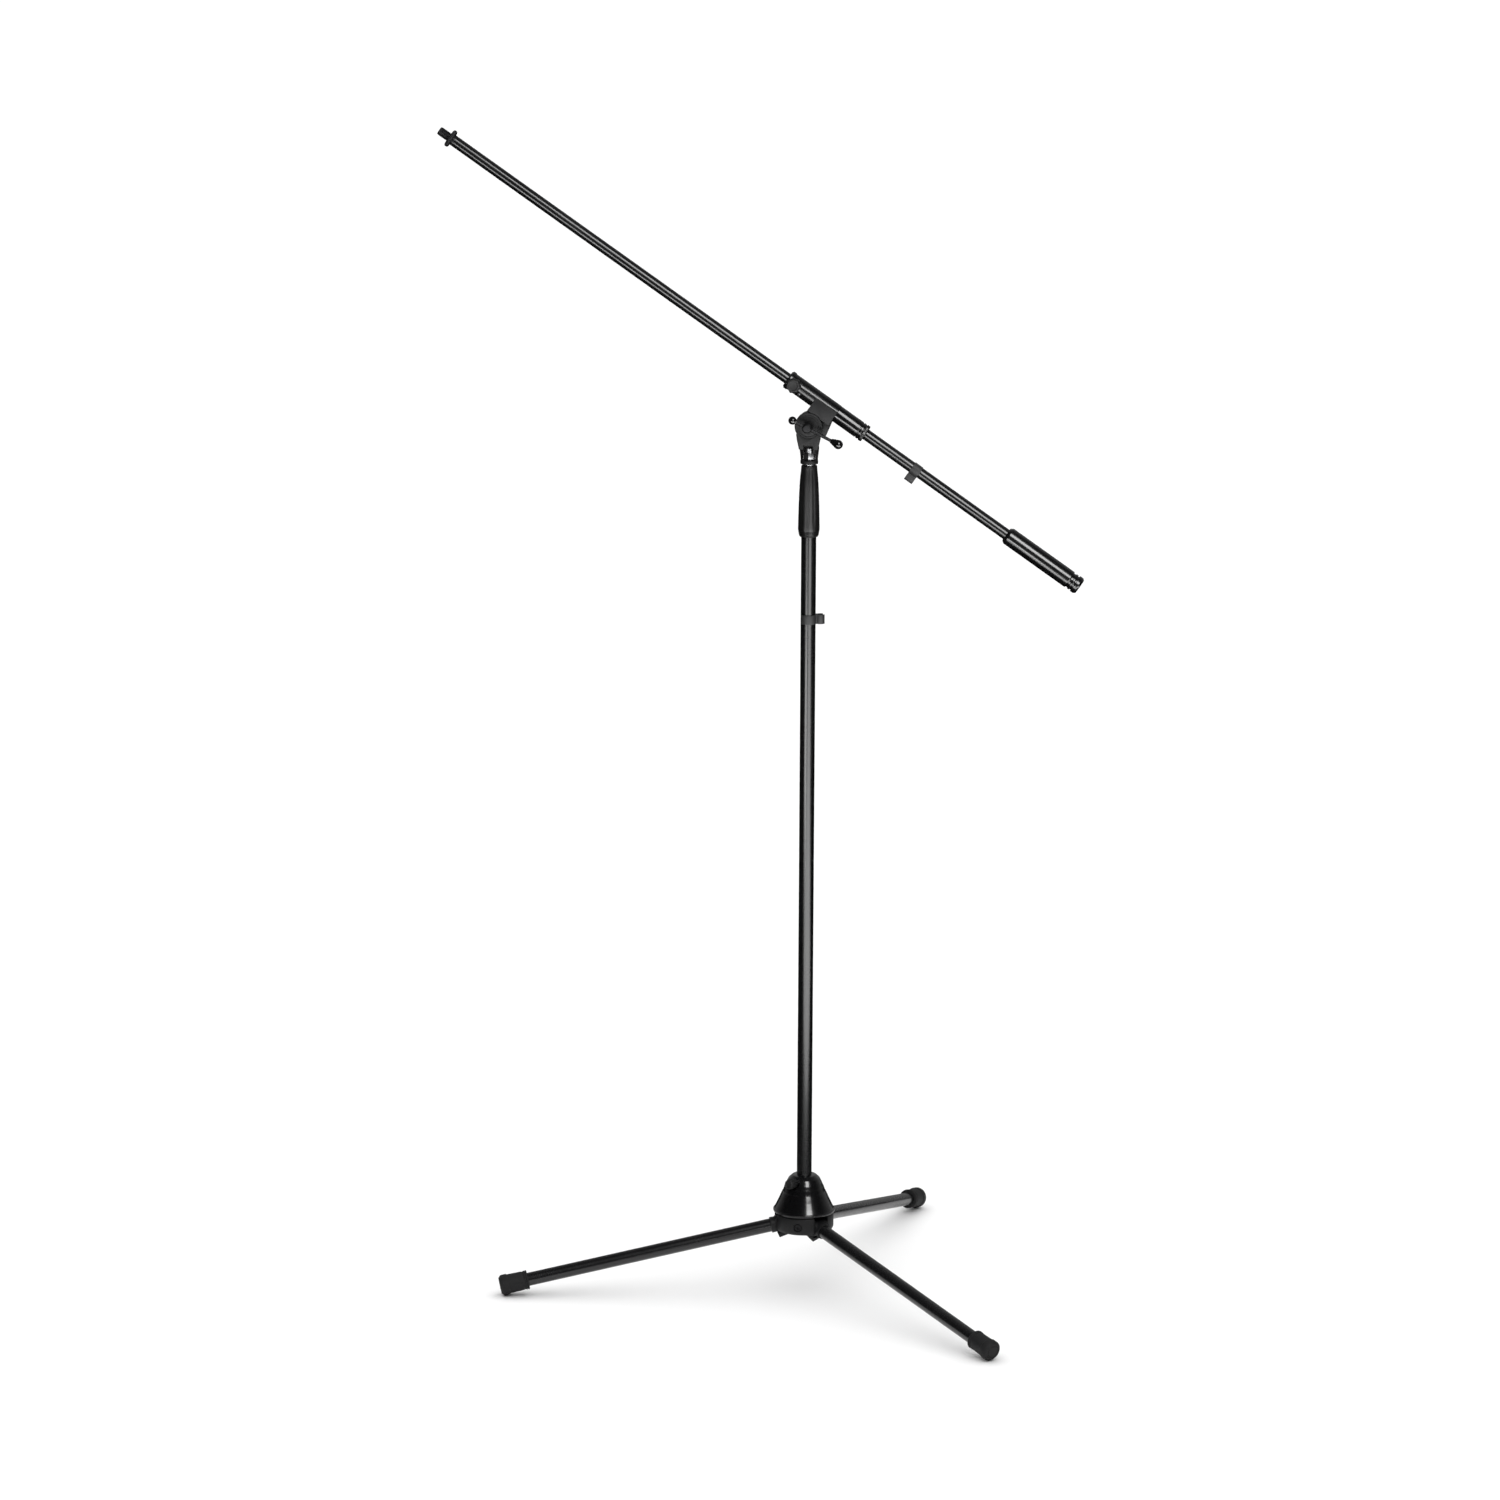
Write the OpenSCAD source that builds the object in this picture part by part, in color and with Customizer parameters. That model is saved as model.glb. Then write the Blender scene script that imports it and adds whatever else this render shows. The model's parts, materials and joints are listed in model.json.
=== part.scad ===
// Boom microphone stand: tripod base with folding legs, telescopic mast, swivel head and
// sliding boom with a counterweight. The origin is on the floor under the mast, +Z is up,
// and the boom lies in the XZ plane with its long arm towards -X.

/* [Mast] */
// Outer diameter of the lower tube
mast_d = 15.6; // [15:0.1:17]
// Outer diameter of the telescopic inner tube
riser_d = 12.6; // [12:0.1:12.8]
// Height of the boom's tilt axis above the floor, mast lowered
pivot_z = 928.2; // [900:0.1:960]
// Height of the top end of the lower tube
mast_top_z = 842; // [835:1:845]

/* [Base] */
// Radius from the mast to the outer end of each foot
foot_reach = 322.4; // [300:0.1:360]
// Outer diameter of the leg tubes
leg_d = 14.1; // [13:0.1:14.5]
// Direction of the first leg about the mast
leg_turn = 195; // [180:1:210]
// Slope of the legs below horizontal
leg_slope = 11.45; // [9:0.05:14]
// Radius of the bell's rim
bell_r = 32.5; // [31:0.5:36]
// Length of a rubber foot
foot_len = 30.4; // [26:0.1:36]
// Largest diameter of a rubber foot
foot_d = 22; // [20:0.1:22.2]

/* [Boom] */
// Angle of the boom above horizontal
boom_angle = 34.3; // [0:0.1:60]
// Outer diameter of the boom tube
boom_d = 11.7; // [11:0.1:12]
// Distance from the tilt axis to the boom's axis
boom_offset = 26.55; // [26:0.05:34]
// Length of the boom from the head to the tip
tip_reach = 488.5; // [400:0.5:600]
// Length of the boom from the head to its tail
tail_reach = 322; // [300:1:360]
// Length of the counterweight
weight_len = 93; // [60:1:120]
// Diameter of the counterweight
weight_d = 18.8; // [16:0.1:22]

/* [Head] */
// Outer diameter of the sleeve that holds the boom
sleeve_d = 18.7; // [18:0.1:20]
// Diameter of the tilt clamp's disc
disc_d = 28.6; // [27:0.1:30]
// Length of the tommy bar between its ball centres
bar_len = 53.2; // [48:0.1:60]
// Angle of the tommy bar below horizontal
bar_angle = 26.3; // [0:0.1:90]

/* [Hidden] */
$fn = 64;
FINE = 32;
fit_gap = 0.05;                      // radial gap of a piece held tight in its own assembly
run_gap = 0.07;                      // radial gap of a piece that slides or turns
mast_r = mast_d / 2;
riser_r = riser_d / 2;
mast_bore_r = mast_r - 1.2;
leg_r = leg_d / 2;
leg_bore_r = leg_r - 1.2;
boom_r = boom_d / 2;
boom_bore_r = boom_r - 1.5;
sleeve_r = sleeve_d / 2;
disc_r = disc_d / 2;
weight_r = weight_d / 2;
LEGS = [0, 1, 2];

// Hub and leg roots
foot_edge = 2.5;                     // rounding of a foot's outer edge
foot_end_z = foot_edge + (foot_d / 2 - foot_edge) * cos(leg_slope) - foot_edge * sin(leg_slope);
hinge_r = 25;                        // radius of the leg hinge pins from the mast
hinge_z = foot_end_z + (foot_reach - hinge_r) * tan(leg_slope);
leg_len = (foot_reach - hinge_r) / cos(leg_slope);
hub_bottom_z = 62.4;
hub_top_z = 82.8;
hub_r = 31.3;
slot_w = 17.4;
keel_w = 16;
keel_tip_r = 26.6;
keel_tip_z = 56.85;
keel_notch_z = 60;                   // top of the groove along the middle of a keel
eye_r = 8;
knuckle_w = 16.4;
pin_r = 2.5;
ring_r = 8.4;
ring_x0 = 7;
ring_x1 = 10.5;
spigot_end_x = 30;
hub_screw_turn = leg_turn + 70.6;
hub_screw_z = 73;

// Bell
bell_z = 83.8;
bell_top_z = 123.8;
bell_boss_r = 12.5;
knob_turn = 239;                     // direction of the bell's clamp knob
knob_z = 117.5;
spot_r = 7;
spot_face_r = 14;
bell_knob_r = 5.5;
bell_knob_r0 = 17;
bell_knob_r1 = 27;
bell_screw_r = 2.5;

// Mast and clutch
tube_bottom_z = 60;
riser_bottom_z = 66;
riser_top_z = 887;
grip_bottom_z = 813;
grip_top_z = 886;
clutch_base_z = 811;
clutch_neck_r = 9.2;
clutch_top_z = 846;
collet_z = 852;
collet_top_z = 880;
collet_r = 8;
stud_r = 4.7625;                     // 3/8 inch thread
stud_top_z = 904.6;
stud_nut_r = 6.6;
stud_nut_z = 892.5;
stud_nut_h = 6.4;

// Head
yoke_bottom_z = 888;
yoke_neck_r = 9.2;
yoke_rear_z = 905.4;                 // top of the neck behind the disc, clear of the boom's plate
yoke_front_y = -10;
yoke_back_y = -1.6;
plate_y0 = 0.4;
plate_y1 = 8.6;
web_y0 = -10.2;                      // front face of the plate where it wraps the sleeve
washer_r = 12.5;
screw_r = 4;
screw_hole_r = 4.3;
screw_head_r = 5;
screw_head_y0 = -22;
bar_r = 1.7;
bar_y = -18;
bar_shift = 9.5;                     // how far the bar is pushed through its screw
ball_r = 4.3;
pear_r = 4.9;
clamp_nut_r = 7;
clamp_nut_y1 = 15;
boom_datum = -1.8;                   // datum of the boom from the foot of its offset
sleeve_front = 47.8;
sleeve_joint = -14;
sleeve_rear = -51;
bush_bore_r = boom_r + run_gap;
bush_r = 7.2;
boom_knob_s = 38.7;
boom_knob_turn = 5;                  // how far the clamp knob is turned up from the front
boom_knob_r = 8;
boom_knob_r0 = 12;
boom_knob_r1 = 21.5;
boom_screw_r = 2.5;
sleeve_pin_s = 29;
sleeve_pin_turn = 60;
sleeve_pin_r = 1.6;

// Boom
nut_s = 471.5;
nut_t = 4.6;
nut_r = 9.65;
neck_r = 4.3;                        // plain neck of the tip stud under its lock ring
weight_s = -tail_reach;
boom_clip_s = -114.5;
clip_w = 9.8;
clip_t = 1.2;
clip_cable_r = 3.5;
mast_clip_z = 723.6;
mast_clip_turn = 8;

// --- placing helpers -------------------------------------------------------------------

// Puts a leg's own frame (+X outward along the tube, +Y tangential) at its hinge pin
module at_leg(index) {
    rotate([0, 0, leg_turn + 120 * index])
        translate([hinge_r, 0, hinge_z])
            rotate([0, leg_slope, 0])
                children();
}

// Turns the Z axis to point straight out from the mast in one direction
module radial(turn, z) {
    rotate([0, 0, turn])
        translate([0, 0, z])
            rotate([0, 90, 0])
                children();
}

// Puts the boom's own frame (+Z along the boom towards the tip) at the head
module on_boom() {
    translate([boom_offset * sin(boom_angle), 0, pivot_z + boom_offset * cos(boom_angle)])
        rotate([0, boom_angle - 90, 0])
            translate([0, 0, boom_datum])
                children();
}

// Turns the Z axis of the boom's frame to run out through the clamp knob
module at_boom_knob() {
    translate([0, 0, boom_knob_s])
        rotate([0, 0, boom_knob_turn])
            rotate([90, 0, 0])
                children();
}

// Turns the Z axis of the boom's frame to run out through the sleeve's pin
module at_sleeve_pin() {
    translate([0, 0, sleeve_pin_s])
        rotate([0, 0, sleeve_pin_turn])
            rotate([0, -90, 0])
                children();
}

// Turns the Z axis to the tilt axis, pointing to the back (+Y)
module on_pivot() {
    translate([0, 0, pivot_z])
        rotate([-90, 0, 0])
            children();
}

// A plain tube or ring from z0 to z1
module ring(r, bore, z0, z1) {
    rotate_extrude()
        polygon([[bore, z0], [r, z0], [r, z1], [bore, z1]]);
}

// A solid of revolution with rounded edges at both ends
module rounded_rod(r, z0, z1, edge) {
    rotate_extrude() {
        translate([0, z0])
            square([r - edge, z1 - z0]);
        translate([0, z0 + edge])
            square([r, z1 - z0 - 2 * edge]);
        for (z = [z0 + edge, z1 - edge])
            translate([r - edge, z])
                circle(edge, $fn = FINE);
    }
}

// --- base ------------------------------------------------------------------------------

module lower_tube() {
    color("#1b1b1d")
        ring(mast_r, mast_bore_r, tube_bottom_z, mast_top_z);
}

// The side view of the keel that hangs under each leg
module hub_keel_outline() {
    polygon([[11.5, 70], [11.5, hub_bottom_z], [keel_tip_r, keel_tip_z], [31, 66.5], [31, 70]]);
}

// The groove along the underside of a keel, which leaves it two points
module hub_keel_groove() {
    translate([10, 0, 0])
        rotate([90, 0, 90])
            linear_extrude(25)
                polygon([[-8.6, keel_tip_z - 0.35], [8.6, keel_tip_z - 0.35], [0, keel_notch_z]]);
}

module leg_hub() {
    color("#3a3b3d")
        difference() {
            union() {
                rotate_extrude()
                    polygon([[0, hub_bottom_z], [21.6, hub_bottom_z], [29.6, 64.6], [hub_r, 67.9],
                        [hub_r, hub_top_z - 1], [hub_r - 1, hub_top_z], [0, hub_top_z]]);
                for (i = LEGS)
                    rotate([0, 0, leg_turn + 120 * i])
                        rotate([90, 0, 0])
                            linear_extrude(keel_w, center = true)
                                hub_keel_outline();
            }
            cylinder(r = mast_r + fit_gap, h = 100);
            for (i = LEGS)
                rotate([0, 0, leg_turn + 120 * i])
                    hub_keel_groove();
            for (i = LEGS)
                at_leg(i) {
                    translate([-eye_r - 0.5, -slot_w / 2, -eye_r - 0.5])
                        cube([50, slot_w, 60]);
                    rotate([90, 0, 0])
                        cylinder(r = pin_r + fit_gap, h = 26, center = true);
                }
            radial(hub_screw_turn, hub_screw_z) {
                cylinder(r = 2.1, h = 60);
                translate([0, 0, hub_r - 3])
                    cylinder(r = 4.4, h = 10);
            }
        }
}

// Cross-head screw that locks the hub to the tube
module hub_screw() {
    color("#2a2a2c")
        radial(hub_screw_turn, hub_screw_z)
            difference() {
                union() {
                    translate([0, 0, mast_r + 0.3])
                        cylinder(r = 2.0, h = hub_r - mast_r - 3.3);
                    translate([0, 0, hub_r - 3])
                        rounded_rod(3.9, 0, 2.2, 0.6);
                }
                translate([0, 0, hub_r - 2]) {
                    translate([-2.3, -0.45, 0])
                        cube([4.6, 0.9, 3]);
                    translate([-0.45, -2.3, 0])
                        cube([0.9, 4.6, 3]);
                }
            }
}

// The three hinge pins of the legs
module leg_pins() {
    color("#8d8f92")
        for (i = LEGS)
            at_leg(i)
                rotate([90, 0, 0])
                    cylinder(r = pin_r, h = slot_w + 5, center = true);
}

module leg_knuckle(index) {
    color("#333436")
        at_leg(index)
            difference() {
                union() {
                    rotate([90, 0, 0])
                        cylinder(r = eye_r, h = knuckle_w, center = true);
                    rotate([0, 90, 0]) {
                        cylinder(r = knuckle_w / 2, h = ring_x0);
                        translate([0, 0, ring_x0])
                            ring(ring_r, 0, 0, ring_x1 - ring_x0);
                        translate([0, 0, ring_x1])
                            cylinder(r = leg_bore_r - fit_gap, h = spigot_end_x - ring_x1);
                    }
                }
                rotate([90, 0, 0])
                    cylinder(r = pin_r + run_gap, h = 30, center = true);
            }
}

module leg_tube(index) {
    color("#1b1b1d")
        at_leg(index)
            rotate([0, 90, 0])
                ring(leg_r, leg_bore_r, ring_x1, leg_len - 4);
}

// Rubber foot: an inner lip, a step and a rounded outer end, with a blind hole for the tube
module foot(index) {
    inner = leg_len - foot_len;
    color("#232323")
        at_leg(index)
            rotate([0, 90, 0])
                rotate_extrude()
                    difference() {
                        union() {
                            polygon([[0, inner + 1], [9.4, inner + 1], [9.9, inner + 4],
                                [10.2, leg_len - 9], [0, leg_len - 9]]);
                            translate([0, inner])
                                square([10.3, 2.4]);
                            translate([0, leg_len - 9])
                                square([foot_d / 2 - foot_edge, 9]);
                            translate([0, leg_len - 9])
                                square([foot_d / 2, 9 - foot_edge]);
                            translate([foot_d / 2 - foot_edge, leg_len - foot_edge])
                                circle(foot_edge, $fn = FINE);
                        }
                        translate([-20, inner - 20])
                            square([20, foot_len + 40]);
                        translate([0, inner - 1])
                            square([leg_r + fit_gap, foot_len - 3]);
                    }
}

// --- bell ------------------------------------------------------------------------------

module base_bell() {
    color("#151516")
        difference() {
            rotate_extrude()
                polygon([[mast_r + run_gap, bell_z + 0.5], [bell_boss_r, bell_z + 0.5],
                    [bell_boss_r, 100], [20, 100], [24, 96], [29.5, bell_z],
                    [bell_r - 0.5, bell_z], [bell_r, bell_z + 0.8], [bell_r, bell_z + 2.4],
                    [bell_r - 0.9, bell_z + 3.2], [28.9, 92.2], [26.2, 98], [23.9, 103.2],
                    [23.1, 104.8], [22.5, 105.4], [21, 110], [20.4, 110.8], [19.2, 114.2],
                    [18.1, 116.6], [16.4, 119.6], [14.4, 122], [12.4, 123.3], [9.8, bell_top_z],
                    [mast_r + run_gap, bell_top_z]]);
            radial(knob_turn, knob_z) {
                cylinder(r = bell_screw_r + 0.3, h = 40);
                translate([0, 0, spot_face_r])
                    cylinder(r = spot_r, h = 40);
            }
        }
}

// Lobed grip outline shared by the clamp knobs
module lobed(r, lobes, cut) {
    difference() {
        circle(r);
        for (i = [0 : lobes - 1])
            rotate([0, 0, (i + 0.5) * 360 / lobes])
                translate([r + cut, 0])
                    circle(cut * 1.6, $fn = FINE);
    }
}

module bell_knob() {
    color("#262627")
        radial(knob_turn, knob_z)
            difference() {
                union() {
                    translate([0, 0, bell_knob_r0])
                        linear_extrude(bell_knob_r1 - bell_knob_r0 - 1)
                            lobed(bell_knob_r, 8, 1);
                    translate([0, 0, bell_knob_r1 - 1])
                        cylinder(r1 = bell_knob_r - 0.4, r2 = bell_knob_r - 1.3, h = 1);
                }
                cylinder(r = bell_screw_r + fit_gap, h = bell_knob_r1 - 3);
            }
}

module bell_screw() {
    color("#a8abae")
        radial(knob_turn, knob_z) {
            translate([0, 0, mast_r + 0.3])
                cylinder(r = bell_screw_r, h = bell_knob_r1 - 3.2 - mast_r - 0.3);
            translate([0, 0, spot_face_r + 0.4])
                ring(4.2, bell_screw_r, 0, bell_knob_r0 - spot_face_r - 0.4);
        }
}

// --- height clutch ---------------------------------------------------------------------

module clutch_base() {
    color("#2b2b2d")
        rotate_extrude()
            polygon([[mast_r + fit_gap, clutch_base_z], [9.4, clutch_base_z],
                [10, clutch_base_z + 1], [10, grip_bottom_z - 0.4], [clutch_neck_r, grip_bottom_z - 0.4],
                [clutch_neck_r, clutch_top_z], [riser_r + 0.3, clutch_top_z],
                [riser_r + 0.3, mast_top_z], [mast_r + fit_gap, mast_top_z]]);
}

module clutch_grip() {
    color("#2a2a2b")
        rotate_extrude()
            polygon([[clutch_neck_r + 0.3, grip_bottom_z], [10.4, grip_bottom_z],
                [10.6, 815], [11.1, 817.5], [11.2, 821], [11.15, 825], [10.95, 837], [10.5, 852],
                [9.8, 867], [9.3, 874], [8.5, 881], [8.3, grip_top_z - 1], [7.6, grip_top_z],
                [riser_r + 0.3, grip_top_z], [riser_r + 0.3, grip_top_z - 3.5],
                [collet_r - 0.3, grip_top_z - 5], [collet_r + 0.3, 850],
                [clutch_neck_r + 0.3, clutch_top_z + 1]]);
}

// Split ring that grips the inner tube when the grip is tightened
module clutch_collet() {
    color("#c9c6bd")
        difference() {
            rotate_extrude()
                polygon([[riser_r + run_gap, collet_z], [collet_r, collet_z],
                    [collet_r - 0.7, collet_top_z], [riser_r + run_gap, collet_top_z]]);
            translate([0, -0.8, collet_z - 1])
                cube([20, 1.6, 40]);
        }
}

// --- inner mast ------------------------------------------------------------------------

module inner_tube() {
    color("#8e9093")
        ring(riser_r, riser_r - 1, riser_bottom_z, riser_top_z - 3);
}

// Plastic bush that centres the foot of the inner tube in the lower tube
module inner_guide() {
    color("#d8d4c8")
        difference() {
            rotate_extrude()
                polygon([[0, riser_bottom_z - 3], [mast_bore_r - run_gap, riser_bottom_z - 3],
                    [mast_bore_r - run_gap, riser_bottom_z], [riser_r - 1 - fit_gap, riser_bottom_z],
                    [riser_r - 1 - fit_gap, riser_bottom_z + 20], [0, riser_bottom_z + 20]]);
            cylinder(r = 3, h = 200);
        }
}

// Threaded end piece of the inner tube
module mast_stud() {
    color("#9b9ea1")
        rotate_extrude()
            polygon([[0, riser_top_z - 25], [riser_r - 1 - fit_gap, riser_top_z - 25],
                [riser_r - 1 - fit_gap, riser_top_z - 3], [riser_r, riser_top_z - 3],
                [riser_r, riser_top_z + 1], [stud_r, riser_top_z + 1], [stud_r, stud_top_z - 0.8],
                [stud_r - 0.8, stud_top_z], [0, stud_top_z]]);
}

module stud_nut() {
    color("#8b8e92")
        translate([0, 0, stud_nut_z])
            difference() {
                rotate([0, 0, 30])
                    cylinder(r = stud_nut_r, h = stud_nut_h, $fn = 6);
                translate([0, 0, -1])
                    cylinder(r = stud_r + fit_gap, h = 10);
            }
}

// --- swivel head -----------------------------------------------------------------------

// Yoke: a friction disc on a tapered neck with a window that shows the lock nut
module swivel_yoke() {
    depth = yoke_back_y - yoke_front_y;
    color("#37383a")
        difference() {
            union() {
                on_pivot()
                    translate([0, 0, yoke_front_y])
                        cylinder(r = disc_r, h = depth);
                rotate_extrude()
                    polygon([[0, yoke_bottom_z], [yoke_neck_r, yoke_bottom_z],
                        [yoke_neck_r, yoke_bottom_z + 3], [yoke_neck_r - 0.3, yoke_bottom_z + 4],
                        [9.4, 897], [9.9, 901], [10.3, 906], [0, 912]]);
                translate([0, yoke_back_y, 0])
                    rotate([90, 0, 0])
                        linear_extrude(depth)
                            polygon([[-9.6, 904], [9.6, 904], [11.8, 914], [12.6, 920],
                                [-12.6, 920], [-11.8, 914]]);
            }
            on_pivot() {
                translate([0, 0, -30])
                    cylinder(r = screw_hole_r, h = 60);
                translate([0, 0, yoke_front_y - 1])
                    ring(disc_r - 1.6, disc_r - 2.4, 0, 1.5);
                translate([0, 0, yoke_front_y - 1])
                    ring(disc_r - 3.6, disc_r - 4.4, 0, 1.5);
            }
            translate([0, 0, yoke_bottom_z - 1])
                cylinder(r = stud_r + fit_gap, h = 18);
            translate([-7, -20, stud_nut_z - 1])
                cube([14, 40, stud_nut_h + 1.6]);
            translate([-5.2, -20, stud_nut_z - 1])
                cube([10.4, 20, 17]);
            translate([-20, yoke_back_y, yoke_rear_z])
                cube([40, 40, 40]);
        }
}

module friction_washer() {
    color("#6b3f2a")
        on_pivot()
            ring(washer_r, screw_hole_r, yoke_back_y, plate_y0 - 0.1);
}

// Tilt clamp screw, with a cross hole for the tommy bar
module clamp_screw() {
    color("#9fa2a5")
        difference() {
            on_pivot() {
                translate([0, 0, screw_head_y0])
                    rounded_rod(screw_head_r, 0, yoke_front_y - 0.3 - screw_head_y0, 0.8);
                translate([0, 0, yoke_front_y - 0.4])
                    cylinder(r = screw_r, h = clamp_nut_y1 + 2 - yoke_front_y);
            }
            bar_frame()
                translate([0, 0, -20])
                    cylinder(r = bar_r + run_gap, h = 40);
        }
}

// Puts the Z axis along the tommy bar, from its hole in the screw towards the larger ball
module bar_frame() {
    translate([0, bar_y, pivot_z])
        rotate([0, 90 + bar_angle, 0])
            children();
}

module tommy_bar() {
    color("#a8abae")
        bar_frame()
            translate([0, 0, bar_shift - bar_len / 2])
                cylinder(r = bar_r, h = bar_len);
}

module bar_ball() {
    color("#1c1c1d")
        bar_frame()
            translate([0, 0, bar_shift - bar_len / 2])
                difference() {
                    sphere(ball_r);
                    translate([0, 0, -0.01])
                        cylinder(r = bar_r, h = 10);
                }
}

module bar_pear() {
    color("#1c1c1d")
        bar_frame()
            translate([0, 0, bar_shift + bar_len / 2])
                difference() {
                    union() {
                        sphere(pear_r);
                        translate([0, 0, -8.5])
                            cylinder(r1 = bar_r + 0.9, r2 = 4.4, h = 7);
                    }
                    translate([0, 0, -20])
                        cylinder(r = bar_r, h = 20);
                }
}

// --- boom clamp ------------------------------------------------------------------------

// Plate that tilts on the clamp screw: it runs down behind the yoke's disc, and above the
// disc it is thick and wraps the front of the sleeve. In the boom's frame +Z runs to the tip
// and -X points down to the tilt axis.
module boom_block() {
    color("#343537")
        on_boom()
            difference() {
                union() {
                    translate([0, plate_y1, 0])
                        rotate([90, 0, 0])
                            linear_extrude(plate_y1 - plate_y0) {
                                polygon([[0, -13], [0, 12.5], [-24, 12.5], [-27.5, 10],
                                    [-29, -16], [-27, -18.5]]);
                                translate([-boom_offset, -boom_datum])
                                    circle(disc_r - 0.6);
                            }
                    translate([0, plate_y0 + 1, 0])
                        rotate([90, 0, 0])
                            linear_extrude(plate_y0 + 1 - web_y0)
                                difference() {
                                    polygon([[2.8, -14], [2.8, 12.5], [-13, 12.5],
                                        [-13, -14]]);
                                    translate([-boom_offset, -boom_datum])
                                        circle(disc_r + 0.6);
                                }
                }
                translate([0, 0, -60])
                    cylinder(r = sleeve_r + fit_gap, h = 120);
                translate([-boom_offset, 20, -boom_datum])
                    rotate([90, 0, 0])
                        cylinder(r = screw_hole_r, h = 40);
            }
}

module clamp_nut() {
    color("#8d9093")
        on_pivot()
            difference() {
                translate([0, 0, plate_y1])
                    cylinder(r = clamp_nut_r, h = clamp_nut_y1 - plate_y1, $fn = 6);
                cylinder(r = screw_r + 0.1, h = 40);
            }
}

// Front half of the sleeve, with a collar at its mouth and a boss for the clamp knob
module front_sleeve() {
    color("#1d1d1f")
        on_boom()
            difference() {
                union() {
                    translate([0, 0, sleeve_joint])
                        cylinder(r = sleeve_r, h = sleeve_front - sleeve_joint - 5);
                    translate([0, 0, sleeve_front - 5])
                        cylinder(r = sleeve_r + 0.7, h = 3.4);
                    translate([0, 0, sleeve_front - 1.6])
                        cylinder(r1 = sleeve_r + 0.7, r2 = sleeve_r - 1, h = 1.6);
                    at_boom_knob()
                        cylinder(r = 5.5, h = boom_knob_r0 - 0.4);
                }
                translate([0, 0, sleeve_joint - 1])
                    cylinder(r = bush_r + run_gap, h = 80);
                at_boom_knob()
                    cylinder(r = boom_screw_r + 0.2, h = 30);
                at_sleeve_pin()
                    translate([0, 0, sleeve_r - 0.6])
                        cylinder(r = sleeve_pin_r + fit_gap, h = 5);
            }
}

// Tail half of the sleeve, with grooves and a ribbed ring at its end
module rear_sleeve() {
    color("#1d1d1f")
        on_boom()
            rotate_extrude()
                polygon([[bush_bore_r + 0.25, sleeve_rear], [sleeve_r - 0.8, sleeve_rear],
                    [sleeve_r, sleeve_rear + 0.8], [sleeve_r, sleeve_rear + 3.6],
                    [sleeve_r - 1, sleeve_rear + 3.6], [sleeve_r - 1, sleeve_rear + 4.8],
                    [sleeve_r - 0.3, sleeve_rear + 4.8], [sleeve_r - 0.3, sleeve_rear + 7],
                    [sleeve_r - 1, sleeve_rear + 7], [sleeve_r - 1, sleeve_rear + 8.2],
                    [sleeve_r - 0.3, sleeve_rear + 8.2], [sleeve_r - 0.3, sleeve_joint],
                    [bush_r + run_gap, sleeve_joint], [bush_r + run_gap, sleeve_rear + 8],
                    [bush_bore_r + 0.25, sleeve_rear + 7]]);
}

// Small dog-point screw that holds the two sleeve halves in line
module sleeve_pin() {
    color("#b4b7ba")
        on_boom()
            at_sleeve_pin()
                translate([0, 0, sleeve_r - 0.55])
                    rounded_rod(sleeve_pin_r, 0, 1.75, 0.4);
}

// Split plastic liner that grips the boom and turns with it
module boom_bush() {
    color("#cfccc2")
        on_boom()
            difference() {
                ring(bush_r, bush_bore_r, sleeve_rear + 10, boom_knob_s - 5);
                translate([0, -0.6, -100])
                    cube([20, 1.2, 200]);
            }
}

module boom_knob() {
    grip_h = boom_knob_r1 - boom_knob_r0 - 1.2;
    color("#2a2a2b")
        on_boom()
            at_boom_knob()
                translate([0, 0, boom_knob_r0])
                    difference() {
                        union() {
                            linear_extrude(grip_h)
                                lobed(boom_knob_r, 7, 1.4);
                            translate([0, 0, grip_h])
                                cylinder(r1 = boom_knob_r - 0.6, r2 = boom_knob_r - 1.8, h = 1.2);
                        }
                        translate([0, 0, -1])
                            cylinder(r = boom_screw_r + fit_gap, h = 7);
                    }
}

module boom_screw() {
    color("#a8abae")
        on_boom()
            at_boom_knob()
                translate([0, 0, boom_r + 0.3])
                    cylinder(r = boom_screw_r, h = boom_knob_r0 + 5.8 - boom_r - 0.3);
}

// --- boom ------------------------------------------------------------------------------

module boom_tube() {
    color("#1b1b1d")
        on_boom()
            ring(boom_r, boom_bore_r, 6 - tail_reach, nut_s - 2);
}

// End piece with the 3/8 inch thread that takes a microphone holder
module tip_stud() {
    color("#8f9295")
        on_boom()
            rotate_extrude()
                polygon([[0, nut_s - 26], [boom_bore_r - fit_gap, nut_s - 26],
                    [boom_bore_r - fit_gap, nut_s - 2], [boom_r, nut_s - 2], [boom_r, nut_s - 0.4],
                    [neck_r, nut_s - 0.4], [neck_r, nut_s + nut_t + 0.3],
                    [stud_r, nut_s + nut_t + 0.3], [stud_r, tip_reach - 0.8],
                    [stud_r - 0.8, tip_reach], [0, tip_reach]]);
}

module lock_nut() {
    color("#2b2b2d")
        on_boom()
            translate([0, 0, nut_s])
                difference() {
                    union() {
                        translate([0, 0, 0.6])
                            linear_extrude(nut_t - 1.2)
                                lobed(nut_r, 24, 0.35);
                        cylinder(r = nut_r - 0.8, h = nut_t);
                    }
                    translate([0, 0, -1])
                        cylinder(r = neck_r + run_gap, h = 10);
                }
}

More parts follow.
